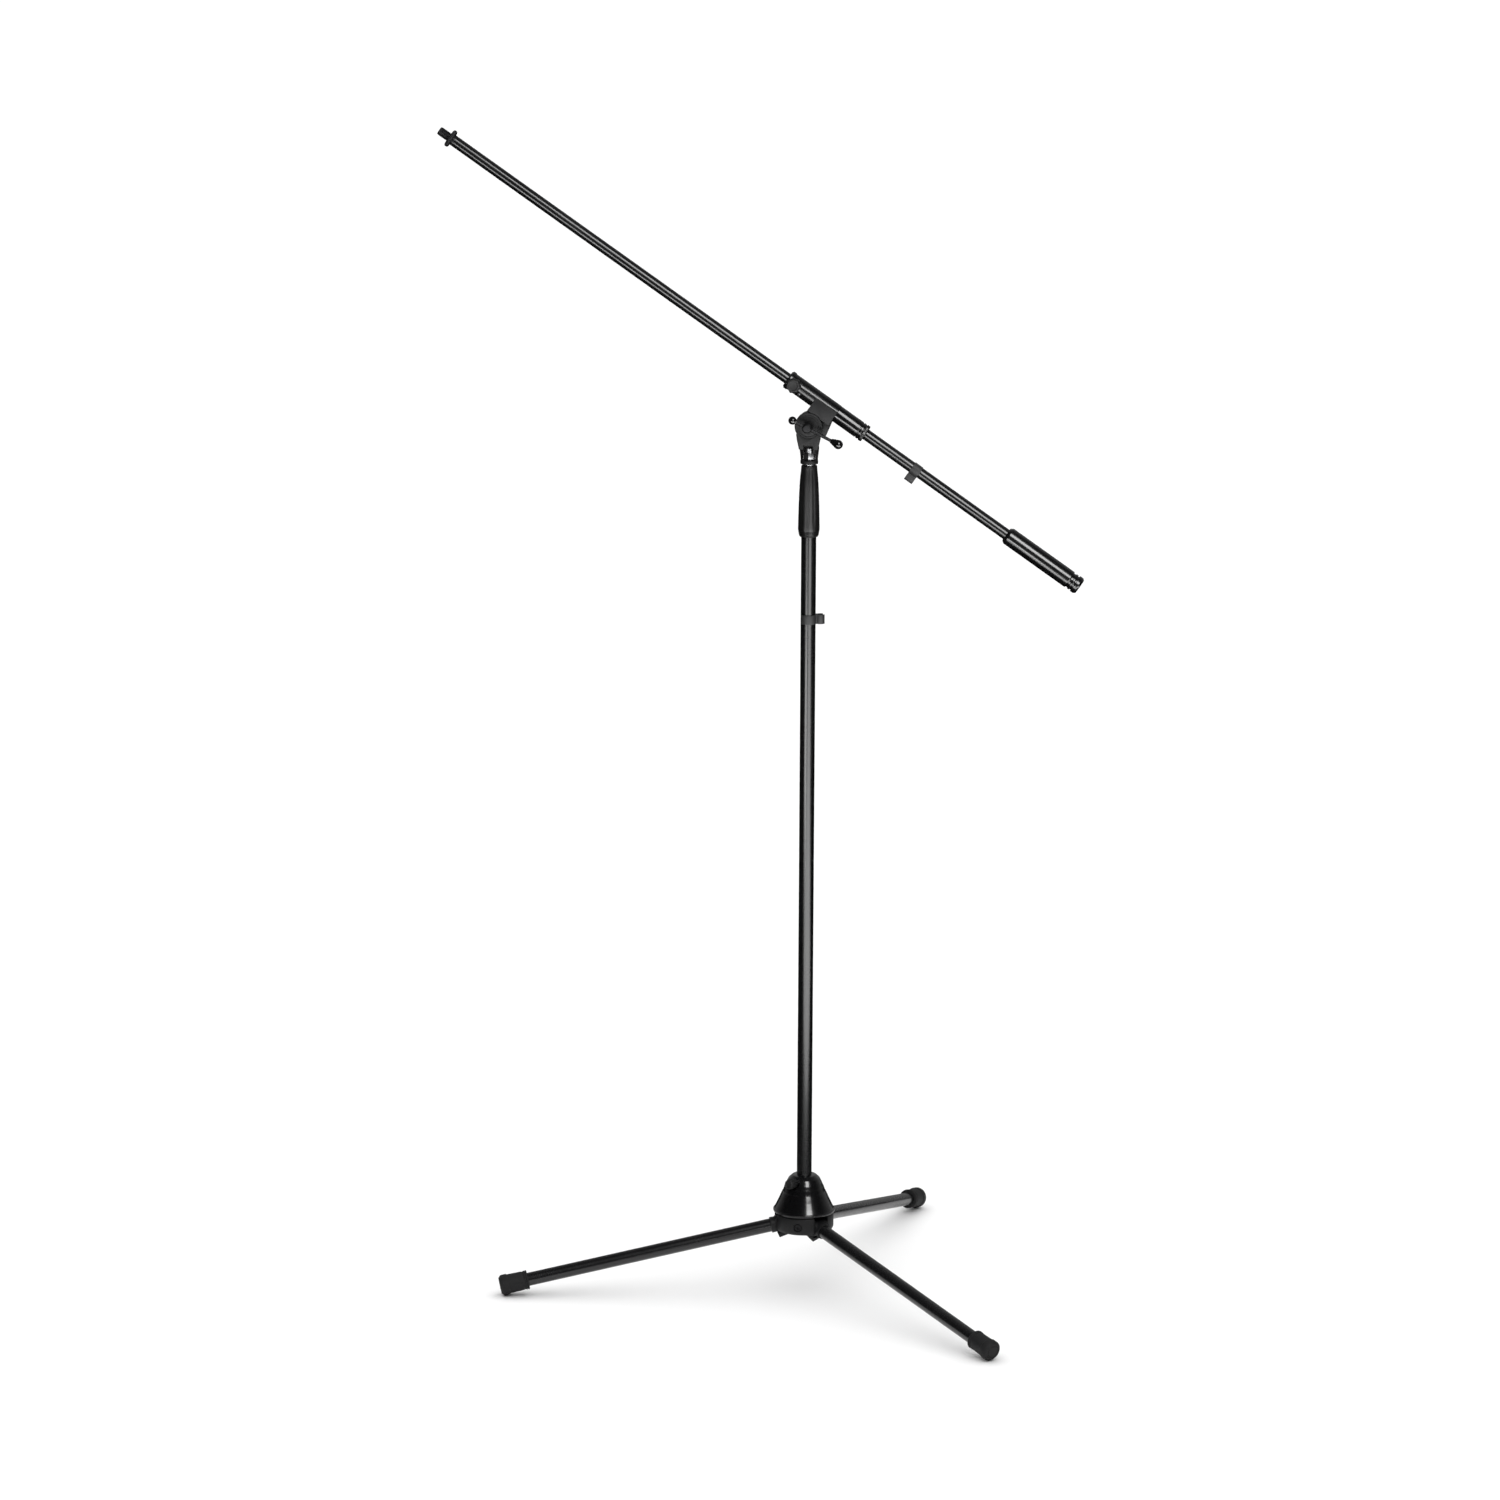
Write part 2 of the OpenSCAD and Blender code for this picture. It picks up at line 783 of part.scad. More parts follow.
// Steel counterweight, bored for the end of the boom tube
module counterweight() {
    color("#151516")
        on_boom()
            rotate_extrude()
                polygon([[boom_r + fit_gap, weight_s + 6], [7.6, weight_s + 6],
                    [7.6, weight_s + 7.4], [weight_r - 0.6, weight_s + 7.4],
                    [weight_r - 0.6, weight_s + 11], [weight_r - 1.4, weight_s + 11],
                    [weight_r - 1.4, weight_s + 12.7], [weight_r, weight_s + 12.7],
                    [weight_r, weight_s + weight_len - 2.4],
                    [weight_r - 0.8, weight_s + weight_len - 0.8],
                    [weight_r - 2.4, weight_s + weight_len],
                    [boom_r + fit_gap, weight_s + weight_len]]);
}

// Screwed end cap that closes the tail of the boom
module weight_cap() {
    color("#1a1a1b")
        on_boom()
            rotate_extrude()
                polygon([[0, weight_s], [weight_r - 1.6, weight_s], [weight_r - 0.5, weight_s + 0.5],
                    [weight_r, weight_s + 1.6], [weight_r, weight_s + 6],
                    [boom_bore_r - fit_gap, weight_s + 6],
                    [boom_bore_r - fit_gap, weight_s + 20], [0, weight_s + 20]]);
}

// --- cable clips -----------------------------------------------------------------------

// C-shaped snap clip on a tube, with a smaller C beside it for the cable
module cable_clip(tube_r) {
    seat = tube_r + run_gap;
    cable_x = seat + clip_t + clip_cable_r;
    translate([0, 0, -clip_w / 2])
        linear_extrude(clip_w)
            difference() {
                union() {
                    circle(seat + clip_t);
                    translate([cable_x, 0])
                        circle(clip_cable_r + clip_t);
                    translate([seat * 0.5, -3.4])
                        square([cable_x - seat * 0.5 - 1.5, 6.8]);
                }
                circle(seat);
                translate([cable_x, 0])
                    circle(clip_cable_r);
                rotate([0, 0, 180])
                    polygon([[0, 0], [30, 22], [30, -22]]);
                translate([cable_x, 0])
                    rotate([0, 0, 20])
                        polygon([[0, 0], [20, 12], [20, -12]]);
            }
}

module mast_clip() {
    color("#4a4b4d")
        rotate([0, 0, mast_clip_turn])
            translate([0, 0, mast_clip_z])
                cable_clip(mast_r);
}

module boom_clip() {
    color("#4a4b4d")
        on_boom()
            translate([0, 0, boom_clip_s])
                rotate([0, 0, 180])
                    cable_clip(boom_r);
}

lower_tube();
leg_hub();
hub_screw();
leg_pins();
base_bell();
bell_knob();
bell_screw();
leg_knuckle(0);  // leg_knuckle_1
leg_knuckle(1);  // leg_knuckle_2
leg_knuckle(2);  // leg_knuckle_3
leg_tube(0);  // leg_tube_1
leg_tube(1);  // leg_tube_2
leg_tube(2);  // leg_tube_3
foot(0);  // foot_1
foot(1);  // foot_2
foot(2);  // foot_3
clutch_base();
clutch_grip();
clutch_collet();
inner_tube();
inner_guide();
mast_stud();
stud_nut();
swivel_yoke();
friction_washer();
clamp_screw();
tommy_bar();
bar_ball();
bar_pear();
boom_block();
clamp_nut();
front_sleeve();
rear_sleeve();
sleeve_pin();
boom_bush();
boom_knob();
boom_screw();
boom_tube();
tip_stud();
lock_nut();
counterweight();
weight_cap();
mast_clip();
boom_clip();
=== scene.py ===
"""Looks of the boom microphone stand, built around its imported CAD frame.

Lengths in this file are millimetres until MM turns them into metres. A piece that replaces a
CAD node is a finer mesh of the same size in the same place, and it rides on the node's body.
"""
import json
import math

import bmesh
import bpy
from mathutils import Matrix, Vector


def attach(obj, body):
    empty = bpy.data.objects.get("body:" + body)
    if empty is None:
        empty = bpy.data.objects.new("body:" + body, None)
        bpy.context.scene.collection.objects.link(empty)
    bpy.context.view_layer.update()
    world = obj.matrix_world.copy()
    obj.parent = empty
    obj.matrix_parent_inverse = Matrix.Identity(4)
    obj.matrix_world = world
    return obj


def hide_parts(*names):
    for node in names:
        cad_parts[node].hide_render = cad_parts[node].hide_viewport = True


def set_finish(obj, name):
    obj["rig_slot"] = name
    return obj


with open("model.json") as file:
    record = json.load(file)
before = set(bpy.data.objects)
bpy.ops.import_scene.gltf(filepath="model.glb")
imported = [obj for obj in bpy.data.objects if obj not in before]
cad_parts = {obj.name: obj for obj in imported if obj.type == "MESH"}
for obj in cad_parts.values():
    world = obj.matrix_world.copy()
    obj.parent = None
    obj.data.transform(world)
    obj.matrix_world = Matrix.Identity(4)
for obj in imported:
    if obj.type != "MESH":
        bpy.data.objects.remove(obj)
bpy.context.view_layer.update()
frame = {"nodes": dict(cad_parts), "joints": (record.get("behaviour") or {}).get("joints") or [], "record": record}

MM = 0.001
JOINTS = {j["name"]: j for j in frame["joints"]}
BODY_OF = {n: b for b, ns in frame["record"]["behaviour"]["bodies"].items() for n in ns}
SLOT_OF = {s["node"]: s["material_slot"] for s in frame["record"]["subparts"]}


# --- frames of the object ----------------------------------------------------------------

def basis(origin, z_axis, x_hint):
    """A matrix whose Z runs along z_axis and whose X is as near x_hint as it can be, in mm."""
    z = Vector(z_axis).normalized()
    y = z.cross(Vector(x_hint)).normalized()
    x = y.cross(z)
    turn = Matrix((x, y, z)).transposed().to_4x4()
    return Matrix.Translation(Vector(origin)) @ turn @ Matrix.Scale(MM, 4)


def joint_place(name):
    return Vector(JOINTS[name]["pos_m"]), Vector(JOINTS[name]["axis"]).normalized()


LEG_SLOPE = math.radians(11.45)
HINGE_REACH = 25          # from the mast's axis to a leg's hinge pin
FOOT_REACH = 322.4        # from the mast's axis to the end of a foot
FOOT_LENGTH = 30.4
BAR_SHIFT = 9.5           # how far the tommy bar is pushed through its screw
BAR_HALF = 26.6
BAR_Y = -18
TAIL_END = -322           # along the boom, from its datum at the head
UP = Vector((0, 0, 1))
MAST = basis((0, 0, 0), UP, (1, 0, 0))
PIVOT_POINT, _ = joint_place("boom_tilt")
PIVOT = basis(PIVOT_POINT, (0, 1, 0), (1, 0, 0))
BOOM_POINT, BOOM_AXIS = joint_place("boom_roll")
BOOM = basis(BOOM_POINT, BOOM_AXIS, BOOM_POINT - PIVOT_POINT)
KNOB_POINT, KNOB_AXIS = joint_place("bell_knob_turn")
BELL_KNOB = basis(KNOB_POINT, KNOB_AXIS, UP)
BAR_AXIS = Vector(JOINTS["tommy_bar_slide"]["axis"])


def leg_frame(number):
    """Z outward along the leg's tube from its hinge pin, X upward."""
    point, pin_axis = joint_place(f"leg_{number}_fold")
    outward = UP.cross(pin_axis).normalized()
    along = outward * math.cos(LEG_SLOPE) - UP * math.sin(LEG_SLOPE)
    return basis(point, along, UP)


# --- mesh tools --------------------------------------------------------------------------

ARC_STEPS = 6             # pieces in a corner's arc
ROUND = 96                # corners in a full turn
SMOOTH_BELOW = math.radians(38)
EDGE_ABOVE = math.radians(28)
FLAT_BELOW = math.radians(0.6)
WELD = 2e-6
REWELD = 1e-6


def fillet(corners):
    """Turns [(r, z, corner radius), ...] into a polyline whose corners are arcs."""
    points = []
    for i, corner in enumerate(corners):
        here = Vector(corner[:2])
        radius = corner[2] if len(corner) > 2 else 0
        if not radius or i in (0, len(corners) - 1):
            points.append(here)
            continue
        back = Vector(corners[i - 1][:2]) - here
        ahead = Vector(corners[i + 1][:2]) - here
        half = back.angle(ahead) / 2
        reach = min(radius / math.tan(half), back.length * 0.49, ahead.length * 0.49)
        start, end = here + back.normalized() * reach, here + ahead.normalized() * reach
        for k in range(ARC_STEPS + 1):
            t = k / ARC_STEPS
            points.append(start * (1 - t) ** 2 + here * 2 * t * (1 - t) + end * t * t)
    return points


def finish_mesh(bm, name, place, sharp=SMOOTH_BELOW):
    """Stores a bmesh as a smooth-shaded object at its place in the frame."""
    bmesh.ops.recalc_face_normals(bm, faces=bm.faces)
    mesh = bpy.data.meshes.new(name)
    bm.transform(place)
    if place.determinant() < 0:
        bmesh.ops.reverse_faces(bm, faces=bm.faces)
    bm.to_mesh(mesh)
    bm.free()
    mesh.shade_smooth()
    mesh.set_sharp_from_angle(angle=sharp)
    piece = bpy.data.objects.new(name, mesh)
    bpy.context.scene.collection.objects.link(piece)
    return piece


def lathe(name, outline, place, radius_at=None, steps=ROUND, closed=False):
    """A solid of revolution about Z. An open outline starts and ends on the axis; a closed
    one is a ring. radius_at(r, z, angle) gives knurls, lobes and facets."""
    bm = bmesh.new()
    rings = []
    for point in outline:
        r, z = point[0], point[1]
        if r < 1e-6:
            rings.append([bm.verts.new((0, 0, z))])
            continue
        ring = []
        for k in range(steps):
            a = 2 * math.pi * k / steps
            reach = radius_at(r, z, a) if radius_at else r
            ring.append(bm.verts.new((reach * math.cos(a), reach * math.sin(a), z)))
        rings.append(ring)
    pairs = list(zip(rings, rings[1:] + rings[:1])) if closed else list(zip(rings, rings[1:]))
    for low, high in pairs:
        for k in range(steps):
            n = (k + 1) % steps
            corners = [low[k % len(low)], low[n % len(low)],
                       high[n % len(high)], high[k % len(high)]]
            corners = list(dict.fromkeys(corners))
            if len(corners) > 2:
                bm.faces.new(corners)
    return finish_mesh(bm, name, place)


def refined(node, width):
    """A copy of a CAD node with welded vertices, whole flat faces and rounded edges."""
    bm = bmesh.new()
    bm.from_mesh(frame["nodes"][node].data)
    bmesh.ops.remove_doubles(bm, verts=bm.verts, dist=WELD)
    bmesh.ops.dissolve_limit(bm, angle_limit=FLAT_BELOW, verts=bm.verts, edges=bm.edges)
    sharp = [e for e in bm.edges if e.is_manifold and e.calc_face_angle(0) > EDGE_ABOVE]
    bmesh.ops.bevel(bm, geom=sharp, offset=width * MM, segments=3, profile=0.5,
                    affect="EDGES", clamp_overlap=True)
    bmesh.ops.remove_doubles(bm, verts=bm.verts, dist=REWELD)
    piece = finish_mesh(bm, node + "_fine", Matrix.Identity(4), sharp=math.radians(30))
    return stands_for(piece, node)


def cut(piece, cutter):
    """Takes one mesh out of another and drops the cutter."""
    step = piece.modifiers.new("cut", "BOOLEAN")
    step.operation = "DIFFERENCE"
    step.solver = "EXACT"
    step.object = cutter
    graph = bpy.context.evaluated_depsgraph_get()
    made = bpy.data.meshes.new_from_object(piece.evaluated_get(graph))
    piece.modifiers.clear()
    piece.data = made
    made.shade_smooth()
    made.set_sharp_from_angle(angle=SMOOTH_BELOW)
    bpy.data.objects.remove(cutter)
    return piece


def stands_for(piece, node):
    """The piece replaces a CAD node, rides on its body and keeps its material slot."""
    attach(piece, BODY_OF[node])
    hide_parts(node)
    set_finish(piece, SLOT_OF[node])
    return piece


def lobes(count, depth, roundness=1.0):
    """Radius rule with evenly spaced scallops between smooth lobes."""
    def rule(r, _z, a):
        wave = 0.5 - 0.5 * math.cos(count * a)
        return r - depth * wave ** roundness
    return rule


def knurl(count, depth, z0, z1):
    """Radius rule with straight ribs between two heights only."""
    def rule(r, z, a):
        if z0 <= z <= z1:
            return r - depth * (0.5 + 0.5 * math.cos(count * a))
        return r
    return rule


# --- materials ---------------------------------------------------------------------------

def node_material(name, base, rough, metal=0.0):
    """A Principled material with its tree ready for more nodes."""
    made = bpy.data.materials.new(name)
    made.use_nodes = True
    shader = made.node_tree.nodes["Principled BSDF"]
    shader.inputs["Base Color"].default_value = (*base, 1)
    shader.inputs["Roughness"].default_value = rough
    shader.inputs["Metallic"].default_value = metal
    return made, made.node_tree, shader


def add(tree, kind, **values):
    made = tree.nodes.new(kind)
    for key, value in values.items():
        if key in made.inputs:
            made.inputs[key].default_value = value
        else:
            setattr(made, key, value)
    return made


def noise(tree, scale, detail=4.0, rough=0.55, stretch=(1, 1, 1)):
    """Noise in object space, in features per metre."""
    place = add(tree, "ShaderNodeTexCoord")
    mapping = add(tree, "ShaderNodeMapping")
    mapping.inputs["Scale"].default_value = stretch
    tree.links.new(place.outputs["Object"], mapping.inputs["Vector"])
    made = add(tree, "ShaderNodeTexNoise", Scale=scale, Detail=detail, Roughness=rough)
    tree.links.new(mapping.outputs["Vector"], made.inputs["Vector"])
    return made.outputs["Fac"]


def ramp(tree, factor, low, high, from_min=0.3, from_max=0.7):
    """Maps a factor to a range of numbers."""
    made = add(tree, "ShaderNodeMapRange")
    made.inputs["From Min"].default_value = from_min
    made.inputs["From Max"].default_value = from_max
    made.inputs["To Min"].default_value = low
    made.inputs["To Max"].default_value = high
    tree.links.new(factor, made.inputs["Value"])
    return made.outputs["Result"]


def vary_colour(tree, shader, factor, first, second):
    made = add(tree, "ShaderNodeMix", data_type="RGBA")
    made.inputs[6].default_value = (*first, 1)
    made.inputs[7].default_value = (*second, 1)
    tree.links.new(factor, made.inputs[0])
    tree.links.new(made.outputs[2], shader.inputs["Base Color"])


def bump(tree, shader, height, strength, distance):
    made = add(tree, "ShaderNodeBump", Strength=strength, Distance=distance)
    tree.links.new(height, made.inputs["Height"])
    tree.links.new(made.outputs["Normal"], shader.inputs["Normal"])


def surface(name, dark, light, rough, grain, grain_depth, coat=0.0, metal=0.0,
            patch=14.0, stretch=(1, 1, 1), specular=0.5):
    """One finish: colour that drifts in soft patches, roughness that varies with wear, and a
    fine grain in the bump."""
    made, tree, shader = node_material(name, dark, rough[0], metal)
    shader.inputs["Coat Weight"].default_value = coat
    shader.inputs["Coat Roughness"].default_value = 0.12
    shader.inputs["Specular IOR Level"].default_value = specular
    patches = noise(tree, patch, 5.0)
    fine = noise(tree, grain, 3.0, 0.6, stretch)
    vary_colour(tree, shader, ramp(tree, patches, 0.0, 1.0), dark, light)
    mixed = add(tree, "ShaderNodeMath", operation="ADD")
    tree.links.new(ramp(tree, patches, rough[0], rough[1]), mixed.inputs[0])
    tree.links.new(ramp(tree, fine, -0.03, 0.03), mixed.inputs[1])
    tree.links.new(mixed.outputs[0], shader.inputs["Roughness"])
    bump(tree, shader, fine, 0.5, grain_depth)
    return made


MATERIALS = {
    "black_tube": surface("tube_powder_coat", (.004, .004, .0045), (.007, .007, .0075),
                          (.22, .28), 900, .00001, coat=.3),
    "gloss_black": surface("gloss_enamel", (.003, .003, .0035), (.005, .005, .0055),
                           (.20, .26), 500, .00002, coat=.6),
    "sleeve_black": surface("sleeve_enamel", (.004, .004, .0045), (.007, .007, .0075),
                            (.19, .26), 600, .00003, coat=.4),
    "cast_grey": surface("casting_paint", (.007, .0072, .0077), (.011, .0112, .0118),
                         (.46, .58), 1500, .00008, specular=.3),
    "black_screw": surface("blackened_steel", (.012, .012, .013), (.020, .020, .022),
                           (.38, .48), 1400, .00004, metal=.6),
    "steel": surface("nickel_steel", (.28, .285, .295), (.36, .365, .37), (.24, .36), 1100,
                     .00003, metal=1.0, stretch=(1, 1, 6)),
    "knob_plastic": surface("knob_plastic", (.005, .005, .0053), (.009, .009, .0094),
                            (.46, .56), 2200, .00008),
    "clutch_plastic": surface("clutch_plastic", (.007, .007, .0075), (.011, .011, .0115),
                              (.42, .52), 2200, .00006),
    "grip_plastic": surface("grip_plastic", (.005, .005, .0053), (.008, .008, .0084),
                            (.32, .40), 2600, .00006),
    "ball_plastic": surface("ball_plastic", (.004, .004, .0045), (.007, .007, .0075),
                            (.14, .20), 400, .00001, coat=.5),
    "liner_plastic": surface("nylon", (.62, .60, .54), (.70, .68, .62), (.40, .52), 1500,
                             .00005),
    "clip_plastic": surface("clip_plastic", (.018, .0184, .0192), (.026, .0265, .0275),
                            (.48, .58), 2200, .00006),
    "washer_fibre": surface("vulcanised_fibre", (.16, .07, .035), (.24, .11, .055),
                            (.60, .72), 1800, .0001, stretch=(1, 4, 1)),
    "foot_rubber": surface("rubber", (.007, .007, .0075), (.012, .012, .0125), (.62, .74),
                           1900, .0001, specular=.35),
}


def dress(piece, slot_name):
    piece.data.materials.clear()
    piece.data.materials.append(MATERIALS[slot_name])


# --- base --------------------------------------------------------------------------------

def make_bell():
    """Gloss bell: a rounded cone with a groove, a polished bead on its rim and a spot face
    for the clamp knob."""
    profile = fillet([
        (7.87, 123.8), (9.8, 123.8, .5), (12.6, 123.3, 1.5), (16.4, 119.8, 3), (19.1, 114.4, 6),
        (20.3, 110.9, .3), (20.9, 110.5, .2), (22.3, 105.9, .3), (23.1, 105.2, .3),
        (26.2, 98, 12), (28.9, 92.2, 8), (31.4, 87.2, .6), (32.5, 86.3, .7),
        (32.5, 84.5, .7), (31.9, 83.8, .4), (29.5, 83.8, .4), (24, 96, 3), (20, 100, 2),
        (12.5, 100, 1), (12.5, 84.3, .4), (7.87, 84.3)])
    bell = lathe("bell", profile, MAST, closed=True, steps=144)
    spot = lathe("spot_cutter", [(0, 14), (7, 14), (7, 50), (0, 50)], BELL_KNOB, steps=64)
    cut(bell, spot)
    bore = lathe("bore_cutter", [(0, 6), (2.8, 6), (2.8, 50), (0, 50)], BELL_KNOB, steps=32)
    return stands_for(cut(bell, bore), "base_bell")


def make_bell_knob():
    profile = fillet([(0, 17.6), (4.3, 17.6), (4.3, 17), (5.1, 17, .4), (5.5, 18.4, .6),
                      (5.5, 25, .8), (4.6, 27, .8), (3.2, 27, .4), (2.9, 26.5, .3),
                      (0, 26.4)])

    def rule(r, z, a):
        return lobes(12, 0.45)(r, z, a) if r > 4.9 else r
    return stands_for(lathe("bell_knob_lobed", profile, BELL_KNOB, rule, 144), "bell_knob")


def make_foot(number):
    """Rubber foot: inner lip, stepped neck, grip ribs and a domed end with a ring in it."""
    end = (FOOT_REACH - HINGE_REACH) / math.cos(LEG_SLOPE)
    start = end - FOOT_LENGTH
    profile = fillet([
        (7.1, start), (9.7, start, .5), (10.3, start + .6, .5), (10.3, start + 1.5, .4),
        (9.7, start + 1.9, .2), (9.7, start + 2.3, .2), (10.2, start + 2.6, .3),
        (10.2, start + 3.5, .4), (9.5, start + 4, .4), (9.5, start + 5, .4),
        (9.9, start + 6.4, 1),
        (10.2, end - 9.6, .6), (10.95, end - 8.6, .6), (11, end - 2.6, 2.2),
        (8.4, end - .05, .8), (7.2, end, .2), (6.9, end - .5, .2), (6.1, end - .5, .2),
        (5.8, end, .2), (0, end)])
    profile = [Vector((0, start + 27))] + [Vector((7.1, start + 27))] + profile

    def rule(r, z, a):
        if end - 8.4 < z < end - 2.9:
            return r - 0.22 * (0.5 + 0.5 * math.cos(40 * a)) ** 3
        return r
    return stands_for(lathe(f"foot_cap_{number}", profile, leg_frame(number), rule, 160),
                      f"foot_{number}")


# --- clutch ------------------------------------------------------------------------------

def make_grip():
    """Tapered grip with soft flats that fade out at both ends and fine steps at the foot."""
    outer = [(10.3, 813), (10.45, 813.3), (10.5, 814.4), (10.3, 814.7), (10.3, 815.0),
             (10.75, 815.3), (10.8, 816.4), (10.6, 816.7), (10.6, 817.0), (11.1, 817.4),
             (11.2, 819), (11.2, 822)]
    taper = [(11.15, 825), (11.08, 829), (10.98, 834), (10.86, 839), (10.7, 845), (10.5, 851),
             (10.26, 857), (10.0, 862.5), (9.7, 868), (9.35, 873), (8.9, 877.6), (8.55, 881),
             (8.35, 884)]
    top = fillet([(8.35, 884), (8.2, 886, 1.2), (6.6, 886, .3), (6.6, 882.5), (7.7, 881),
                  (8.3, 850), (9.5, 847), (9.5, 813)])

    def rule(r, z, a):
        if r < 8.3 or z < 817.5 or z > 884.5:
            return r
        fade = min(1, (z - 817.5) / 10) * min(1, (884.5 - z) / 8)
        return r - 0.34 * fade * (0.5 - 0.5 * math.cos(10 * a)) ** 2
    return stands_for(lathe("grip_sleeve", outer + taper + top, MAST, rule, 200, closed=True),
                      "clutch_grip")


# --- head --------------------------------------------------------------------------------

def make_ball(node, radius, z, neck, tail, turned):
    """Moulded ball on one end of the tommy bar, with a neck towards the bar's middle."""
    place = basis(PIVOT_POINT + Vector((0, BAR_Y * MM, 0)), BAR_AXIS, (0, 1, 0))
    side = 1 if z > 0 else -1
    arc = [(radius * math.sin(t), z + side * radius * math.cos(t))
           for t in [math.radians(turned) * k / 20 for k in range(21)]]
    root = fillet([arc[-1], (neck, z - side * (radius + tail * .5), 1.5),
                   (2.1, z - side * (radius + tail), .4), (0, z - side * (radius + tail))])
    return stands_for(lathe(node + "_moulded", arc + root[1:], place, steps=64), node)


def make_screw_head():
    """Tilt screw: a domed, chamfered head, a shank and the cross hole for the bar."""
    profile = fillet([(0, -22), (3.6, -22, .6), (5, -20.6, .6), (5, -12, .3), (4.6, -11.6, .2),
                      (4.6, -11, .2), (5, -10.6, .2), (5, -10.3), (4, -10.3), (4, 16.4),
                      (3.4, 17), (0, 17)])
    screw = lathe("tilt_screw", profile, PIVOT, steps=64)
    hole = basis(PIVOT_POINT + Vector((0, BAR_Y * MM, 0)), BAR_AXIS, (0, 1, 0))
    return stands_for(cut(screw, lathe("bar_cutter", [(0, -9), (1.77, -9), (1.77, 9), (0, 9)],
                                       hole, steps=32)), "clamp_screw")


def make_boom_knob():
    point, axis = joint_place("boom_knob_turn")
    place = basis(point, axis, BOOM_AXIS)
    profile = fillet([(0, 12.6), (3, 12.6), (3, 12), (6.4, 12, .5), (7.9, 13.4, .8),
                      (8, 19.2, 1.2), (6.6, 21.5, 1.2), (4.7, 21.5, .4), (4.3, 20.9, .3),
                      (0, 20.7)])

    def rule(r, z, a):
        return lobes(7, 1.2)(r, z, a) if r > 6.2 else r
    return stands_for(lathe("boom_knob_lobed", profile, place, rule, 168), "boom_knob")


def make_rear_sleeve():
    """Tail half of the boom sleeve: two grooves and a ribbed ring at the end."""
    profile = fillet([
        (6.17, -51), (8.4, -51, .3), (9.35, -50.1, .5), (9.35, -47.6, .4), (8.5, -47.2, .2),
        (8.4, -46.2, .2), (9.05, -45.9, .3), (9.05, -44.1, .3), (8.4, -43.8, .2),
        (8.4, -42.8, .2), (9.05, -42.5, .3), (9.05, -14.4, .3), (8.7, -14), (7.27, -14),
        (7.27, -43), (6.17, -44)])
    return stands_for(lathe("sleeve_tail", profile, BOOM, knurl(36, .28, -50.2, -47.5), 216,
                            closed=True), "rear_sleeve")


# --- boom --------------------------------------------------------------------------------

THREAD_PITCH = 1.5875
THREAD_DEPTH = 0.55
THREAD_CREST = 4.76
THREAD_FADE = 1.2         # length over which the thread runs out at either end
THREAD_STEPS = 48         # corners in a turn
ROWS_PER_TURN = 8


def make_tip_stud():
    """End piece with a real helical thread, made as a lathe whose rings climb with the turn."""
    steps, start, end = THREAD_STEPS, 476.4, 487.6
    bm = bmesh.new()
    rows = int((end - start) / THREAD_PITCH * ROWS_PER_TURN)

    def ring(radii, heights):
        return [bm.verts.new((radii[k] * math.cos(2 * math.pi * k / steps),
                              radii[k] * math.sin(2 * math.pi * k / steps), heights[k]))
                for k in range(steps)]

    def plain(r, z):
        return ring([r] * steps, [z] * steps)
    rings = [plain(4.3, 445.5), plain(4.3, 469.5), plain(5.85, 469.5), plain(5.85, 471.1),
             plain(4.3, 471.1), plain(4.3, start - .2)]
    for row in range(rows + 1):
        z = start + (end - start) * row / rows
        fade = min(1, (z - start) / THREAD_FADE, (end - z) / THREAD_FADE)
        radii = []
        for k in range(steps):
            phase = (z - start) / THREAD_PITCH - k / steps
            tooth = abs((phase % 1) * 2 - 1)
            radii.append(THREAD_CREST - THREAD_DEPTH * (1 - fade)
                         - THREAD_DEPTH * fade * (1 - tooth))
        rings.append(ring(radii, [z] * steps))
    rings += [plain(4.15, 488), plain(3.7, 488.5)]
    for low, high in zip(rings, rings[1:]):
        for k in range(steps):
            n = (k + 1) % steps
            bm.faces.new((low[k], low[n], high[n], high[k]))
    bm.faces.new(list(reversed(rings[0])))
    bm.faces.new(rings[-1])
    return stands_for(finish_mesh(bm, "thread_stud", BOOM, math.radians(50)), "tip_stud")


def make_lock_nut():
    profile = fillet([(4.37, 471.5), (8.2, 471.5, .3), (9.65, 472.5, .4), (9.65, 475.1, .4),
                      (8.2, 476.1, .3), (4.37, 476.1)])
    return stands_for(lathe("lock_ring", profile, BOOM, knurl(30, .5, 471.9, 475.7), 240,
                            closed=True), "lock_nut")


def make_counterweight():
    z = TAIL_END
    profile = fillet([
        (5.9, z + 6), (7.9, z + 6), (7.9, z + 7.4, .2), (8.7, z + 7.5, .3),
        (9, z + 8, .2), (9, z + 9.6, .2), (8.7, z + 10, .3), (8, z + 10.2, .2),
        (8, z + 12.4, .2), (9, z + 12.5, .5), (9.4, z + 13.4, .5), (9.4, z + 90, 1.6),
        (7.4, z + 93, 1.2), (5.9, z + 93)])
    return stands_for(lathe("weight_body", profile, BOOM, steps=128, closed=True),
                      "counterweight")


def make_weight_cap():
    z = TAIL_END
    profile = fillet([(0, z + 20), (4.3, z + 20), (4.3, z + 6), (9.1, z + 6, .3),
                      (9.4, z + 5.6, .3), (9.4, z + 2, 1.2), (7.8, z, .6), (2.6, z, .2),
                      (2.2, z + .5, .2), (0, z + .5)])
    return stands_for(lathe("weight_end", profile, BOOM, steps=128), "weight_cap")


